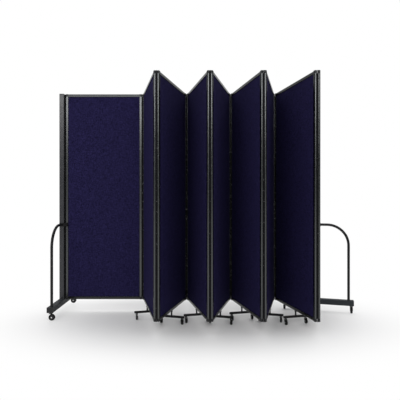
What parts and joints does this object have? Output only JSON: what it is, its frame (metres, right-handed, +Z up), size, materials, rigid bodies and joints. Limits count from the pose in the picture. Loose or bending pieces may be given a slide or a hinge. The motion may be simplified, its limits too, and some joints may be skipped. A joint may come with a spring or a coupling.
{
  "type": "folding partition",
  "caption": "accordion folding room partition with dark blue fabric panels in grey frames, hinged in a zigzag, on small casters with an end frame at each end",
  "frame": {"origin": "on the floor, under the middle of the bounding box of the folded screen", "axes": "+X runs along the first panel, from the left end post to the folded stack; +Y runs from the front, where the near folds are, to the back; +Z is up"},
  "size_m": [2.0905, 0.7986, 1.55],
  "materials": {
    "fabric": "fine woven dark blue cloth",
    "frame": "satin grey anodised",
    "post": "satin dark grey powder coat",
    "tube": "satin black powder coat",
    "beam": "satin dark grey powder coat",
    "caster": "black painted steel",
    "tread": "black hard rubber"
  },
  "bodies": {
    "start": {"panel_1_frame": "frame", "panel_1_board": "fabric", "left_end_post": "post", "left_end_arch": "tube", "left_end_beam": "beam"},
    "panel_2": {"panel_2_frame": "frame", "panel_2_board": "fabric"},
    "panel_3": {"panel_3_frame": "frame", "panel_3_board": "fabric"},
    "panel_4": {"panel_4_frame": "frame", "panel_4_board": "fabric"},
    "panel_5": {"panel_5_frame": "frame", "panel_5_board": "fabric"},
    "panel_6": {"panel_6_frame": "frame", "panel_6_board": "fabric"},
    "panel_7": {"panel_7_frame": "frame", "panel_7_board": "fabric"},
    "panel_8": {"panel_8_frame": "frame", "panel_8_board": "fabric"},
    "finish": {"panel_9_frame": "frame", "panel_9_board": "fabric", "right_end_post": "post", "right_end_arch": "tube", "right_end_beam": "beam"},
    "left_front_swivel": {"left_front_fork": "caster"},
    "left_front_roller": {"left_front_wheel": "tread"},
    "left_back_swivel": {"left_back_fork": "caster"},
    "left_back_roller": {"left_back_wheel": "tread"},
    "right_front_swivel": {"right_front_fork": "caster"},
    "right_front_roller": {"right_front_wheel": "tread"},
    "right_back_swivel": {"right_back_fork": "caster"},
    "right_back_roller": {"right_back_wheel": "tread"},
    "foot_2_front_swivel": {"foot_2_front_fork": "caster"},
    "foot_2_front_roller": {"foot_2_front_wheel": "tread"},
    "foot_2_back_swivel": {"foot_2_back_fork": "caster"},
    "foot_2_back_roller": {"foot_2_back_wheel": "tread"},
    "foot_3_front_swivel": {"foot_3_front_fork": "caster"},
    "foot_3_front_roller": {"foot_3_front_wheel": "tread"},
    "foot_3_back_swivel": {"foot_3_back_fork": "caster"},
    "foot_3_back_roller": {"foot_3_back_wheel": "tread"},
    "foot_4_front_swivel": {"foot_4_front_fork": "caster"},
    "foot_4_front_roller": {"foot_4_front_wheel": "tread"},
    "foot_4_back_swivel": {"foot_4_back_fork": "caster"},
    "foot_4_back_roller": {"foot_4_back_wheel": "tread"},
    "foot_5_front_swivel": {"foot_5_front_fork": "caster"},
    "foot_5_front_roller": {"foot_5_front_wheel": "tread"},
    "foot_5_back_swivel": {"foot_5_back_fork": "caster"},
    "foot_5_back_roller": {"foot_5_back_wheel": "tread"},
    "foot_6_front_swivel": {"foot_6_front_fork": "caster"},
    "foot_6_front_roller": {"foot_6_front_wheel": "tread"},
    "foot_6_back_swivel": {"foot_6_back_fork": "caster"},
    "foot_6_back_roller": {"foot_6_back_wheel": "tread"},
    "foot_7_front_swivel": {"foot_7_front_fork": "caster"},
    "foot_7_front_roller": {"foot_7_front_wheel": "tread"},
    "foot_7_back_swivel": {"foot_7_back_fork": "caster"},
    "foot_7_back_roller": {"foot_7_back_wheel": "tread"},
    "foot_8_front_swivel": {"foot_8_front_fork": "caster"},
    "foot_8_front_roller": {"foot_8_front_wheel": "tread"},
    "foot_8_back_swivel": {"foot_8_back_fork": "caster"},
    "foot_8_back_roller": {"foot_8_back_wheel": "tread"}
  },
  "joints": [
    {"name": "fold_1", "type": "hinge", "parent": "start", "child": "panel_2", "pos_m": [-0.4462, 0.1463, 0.817], "axis": [0, 0, -1], "range_deg": [-75.5, 84.5]},
    {"name": "fold_2", "type": "hinge", "parent": "panel_2", "child": "panel_3", "pos_m": [-0.29273, -0.39119, 0.817], "axis": [0, 0, 1], "range_deg": [-150.4, 9.6]},
    {"name": "fold_3", "type": "hinge", "parent": "panel_3", "child": "panel_4", "pos_m": [-0.13365, 0.14467, 0.817], "axis": [0, 0, -1], "range_deg": [-150.4, 9.6]},
    {"name": "fold_4", "type": "hinge", "parent": "panel_4", "child": "panel_5", "pos_m": [0.01982, -0.39283, 0.817], "axis": [0, 0, 1], "range_deg": [-150.4, 9.6]},
    {"name": "fold_5", "type": "hinge", "parent": "panel_5", "child": "panel_6", "pos_m": [0.17891, 0.14303, 0.817], "axis": [0, 0, -1], "range_deg": [-150.4, 9.6]},
    {"name": "fold_6", "type": "hinge", "parent": "panel_6", "child": "panel_7", "pos_m": [0.33237, -0.39447, 0.817], "axis": [0, 0, 1], "range_deg": [-150.4, 9.6]},
    {"name": "fold_7", "type": "hinge", "parent": "panel_7", "child": "panel_8", "pos_m": [0.49146, 0.14139, 0.817], "axis": [0, 0, -1], "range_deg": [-150.4, 9.6]},
    {"name": "fold_8", "type": "hinge", "parent": "panel_8", "child": "finish", "pos_m": [0.64493, -0.3961, 0.817], "axis": [0, 0, 1], "range_deg": [-150.4, 9.6]},
    {"name": "left_front_turn", "type": "hinge", "parent": "start", "child": "left_front_swivel", "pos_m": [-1.0235, -0.0767, 0.052], "axis": [0, 0, 1], "continuous": true},
    {"name": "left_back_turn", "type": "hinge", "parent": "start", "child": "left_back_swivel", "pos_m": [-1.0235, 0.3833, 0.052], "axis": [0, 0, 1], "continuous": true},
    {"name": "right_front_turn", "type": "hinge", "parent": "finish", "child": "right_front_swivel", "pos_m": [1.02413, 0.09953, 0.052], "axis": [0, 0, 1], "continuous": true},
    {"name": "right_back_turn", "type": "hinge", "parent": "finish", "child": "right_back_swivel", "pos_m": [0.58002, 0.21936, 0.052], "axis": [0, 0, 1], "continuous": true},
    {"name": "foot_2_front_turn", "type": "hinge", "parent": "panel_2", "child": "foot_2_front_swivel", "pos_m": [-0.45927, -0.05477, 0.0412], "axis": [0, 0, 1], "continuous": true},
    {"name": "foot_2_back_turn", "type": "hinge", "parent": "panel_2", "child": "foot_2_back_swivel", "pos_m": [-0.32373, -0.01972, 0.0412], "axis": [0, 0, 1], "continuous": true},
    {"name": "foot_3_front_turn", "type": "hinge", "parent": "panel_3", "child": "foot_3_front_swivel", "pos_m": [-0.15342, -0.17046, 0.0412], "axis": [0, 0, 1], "continuous": true},
    {"name": "foot_3_back_turn", "type": "hinge", "parent": "panel_3", "child": "foot_3_back_swivel", "pos_m": [-0.28859, -0.13399, 0.0412], "axis": [0, 0, 1], "continuous": true},
    {"name": "foot_4_front_turn", "type": "hinge", "parent": "panel_4", "child": "foot_4_front_swivel", "pos_m": [-0.12869, -0.12612, 0.0412], "axis": [0, 0, 1], "continuous": true},
    {"name": "foot_4_back_turn", "type": "hinge", "parent": "panel_4", "child": "foot_4_back_swivel", "pos_m": [0.00685, -0.09106, 0.0412], "axis": [0, 0, 1], "continuous": true},
    {"name": "foot_5_front_turn", "type": "hinge", "parent": "panel_5", "child": "foot_5_front_swivel", "pos_m": [0.15913, -0.1721, 0.0412], "axis": [0, 0, 1], "continuous": true},
    {"name": "foot_5_back_turn", "type": "hinge", "parent": "panel_5", "child": "foot_5_back_swivel", "pos_m": [0.02397, -0.13563, 0.0412], "axis": [0, 0, 1], "continuous": true},
    {"name": "foot_6_front_turn", "type": "hinge", "parent": "panel_6", "child": "foot_6_front_swivel", "pos_m": [0.17084, -0.07741, 0.0412], "axis": [0, 0, 1], "continuous": true},
    {"name": "foot_6_back_turn", "type": "hinge", "parent": "panel_6", "child": "foot_6_back_swivel", "pos_m": [0.30639, -0.04236, 0.0412], "axis": [0, 0, 1], "continuous": true},
    {"name": "foot_7_front_turn", "type": "hinge", "parent": "panel_7", "child": "foot_7_front_swivel", "pos_m": [0.48523, -0.12353, 0.0412], "axis": [0, 0, 1], "continuous": true},
    {"name": "foot_7_back_turn", "type": "hinge", "parent": "panel_7", "child": "foot_7_back_swivel", "pos_m": [0.35007, -0.08706, 0.0412], "axis": [0, 0, 1], "continuous": true},
    {"name": "foot_8_front_turn", "type": "hinge", "parent": "panel_8", "child": "foot_8_front_swivel", "pos_m": [0.50643, -0.16812, 0.0412], "axis": [0, 0, 1], "continuous": true},
    {"name": "foot_8_back_turn", "type": "hinge", "parent": "panel_8", "child": "foot_8_back_swivel", "pos_m": [0.64197, -0.13306, 0.0412], "axis": [0, 0, 1], "continuous": true},
    {"name": "left_front_spin", "type": "hinge", "parent": "left_front_swivel", "child": "left_front_roller", "pos_m": [-1.0155, -0.0767, 0.021], "axis": [0, 1, 0], "continuous": true},
    {"name": "left_back_spin", "type": "hinge", "parent": "left_back_swivel", "child": "left_back_roller", "pos_m": [-1.0155, 0.3833, 0.021], "axis": [0, 1, 0], "continuous": true},
    {"name": "right_front_spin", "type": "hinge", "parent": "right_front_swivel", "child": "right_front_roller", "pos_m": [1.02205, 0.0918, 0.021], "axis": [-0.9655, 0.2605, 0], "continuous": true},
    {"name": "right_back_spin", "type": "hinge", "parent": "right_back_swivel", "child": "right_back_roller", "pos_m": [0.57793, 0.21163, 0.021], "axis": [-0.9655, 0.2605, 0], "continuous": true},
    {"name": "foot_2_front_spin", "type": "hinge", "parent": "foot_2_front_swivel", "child": "foot_2_front_roller", "pos_m": [-0.45777, -0.06058, 0.015], "axis": [0.9681, 0.2504, 0], "continuous": true},
    {"name": "foot_2_back_spin", "type": "hinge", "parent": "foot_2_back_swivel", "child": "foot_2_back_roller", "pos_m": [-0.32222, -0.02553, 0.015], "axis": [0.9681, 0.2504, 0], "continuous": true},
    {"name": "foot_3_front_spin", "type": "hinge", "parent": "foot_3_front_swivel", "child": "foot_3_front_roller", "pos_m": [-0.15186, -0.16467, 0.015], "axis": [-0.9655, 0.2605, 0], "continuous": true},
    {"name": "foot_3_back_spin", "type": "hinge", "parent": "foot_3_back_swivel", "child": "foot_3_back_roller", "pos_m": [-0.28702, -0.1282, 0.015], "axis": [-0.9655, 0.2605, 0], "continuous": true},
    {"name": "foot_4_front_spin", "type": "hinge", "parent": "foot_4_front_swivel", "child": "foot_4_front_roller", "pos_m": [-0.12719, -0.13193, 0.015], "axis": [0.9681, 0.2504, 0], "continuous": true},
    {"name": "foot_4_back_spin", "type": "hinge", "parent": "foot_4_back_swivel", "child": "foot_4_back_roller", "pos_m": [0.00835, -0.09687, 0.015], "axis": [0.9681, 0.2504, 0], "continuous": true},
    {"name": "foot_5_front_spin", "type": "hinge", "parent": "foot_5_front_swivel", "child": "foot_5_front_roller", "pos_m": [0.1607, -0.16631, 0.015], "axis": [-0.9655, 0.2605, 0], "continuous": true},
    {"name": "foot_5_back_spin", "type": "hinge", "parent": "foot_5_back_swivel", "child": "foot_5_back_roller", "pos_m": [0.02553, -0.12984, 0.015], "axis": [-0.9655, 0.2605, 0], "continuous": true},
    {"name": "foot_6_front_spin", "type": "hinge", "parent": "foot_6_front_swivel", "child": "foot_6_front_roller", "pos_m": [0.17235, -0.08322, 0.015], "axis": [0.9681, 0.2504, 0], "continuous": true},
    {"name": "foot_6_back_spin", "type": "hinge", "parent": "foot_6_back_swivel", "child": "foot_6_back_roller", "pos_m": [0.30789, -0.04817, 0.015], "axis": [0.9681, 0.2504, 0], "continuous": true},
    {"name": "foot_7_front_spin", "type": "hinge", "parent": "foot_7_front_swivel", "child": "foot_7_front_roller", "pos_m": [0.48679, -0.11774, 0.015], "axis": [-0.9655, 0.2605, 0], "continuous": true},
    {"name": "foot_7_back_spin", "type": "hinge", "parent": "foot_7_back_swivel", "child": "foot_7_back_roller", "pos_m": [0.35163, -0.08127, 0.015], "axis": [-0.9655, 0.2605, 0], "continuous": true},
    {"name": "foot_8_front_spin", "type": "hinge", "parent": "foot_8_front_swivel", "child": "foot_8_front_roller", "pos_m": [0.50794, -0.17393, 0.015], "axis": [0.9681, 0.2504, 0], "continuous": true},
    {"name": "foot_8_back_spin", "type": "hinge", "parent": "foot_8_back_swivel", "child": "foot_8_back_roller", "pos_m": [0.64348, -0.13887, 0.015], "axis": [0.9681, 0.2504, 0], "continuous": true}
  ]
}
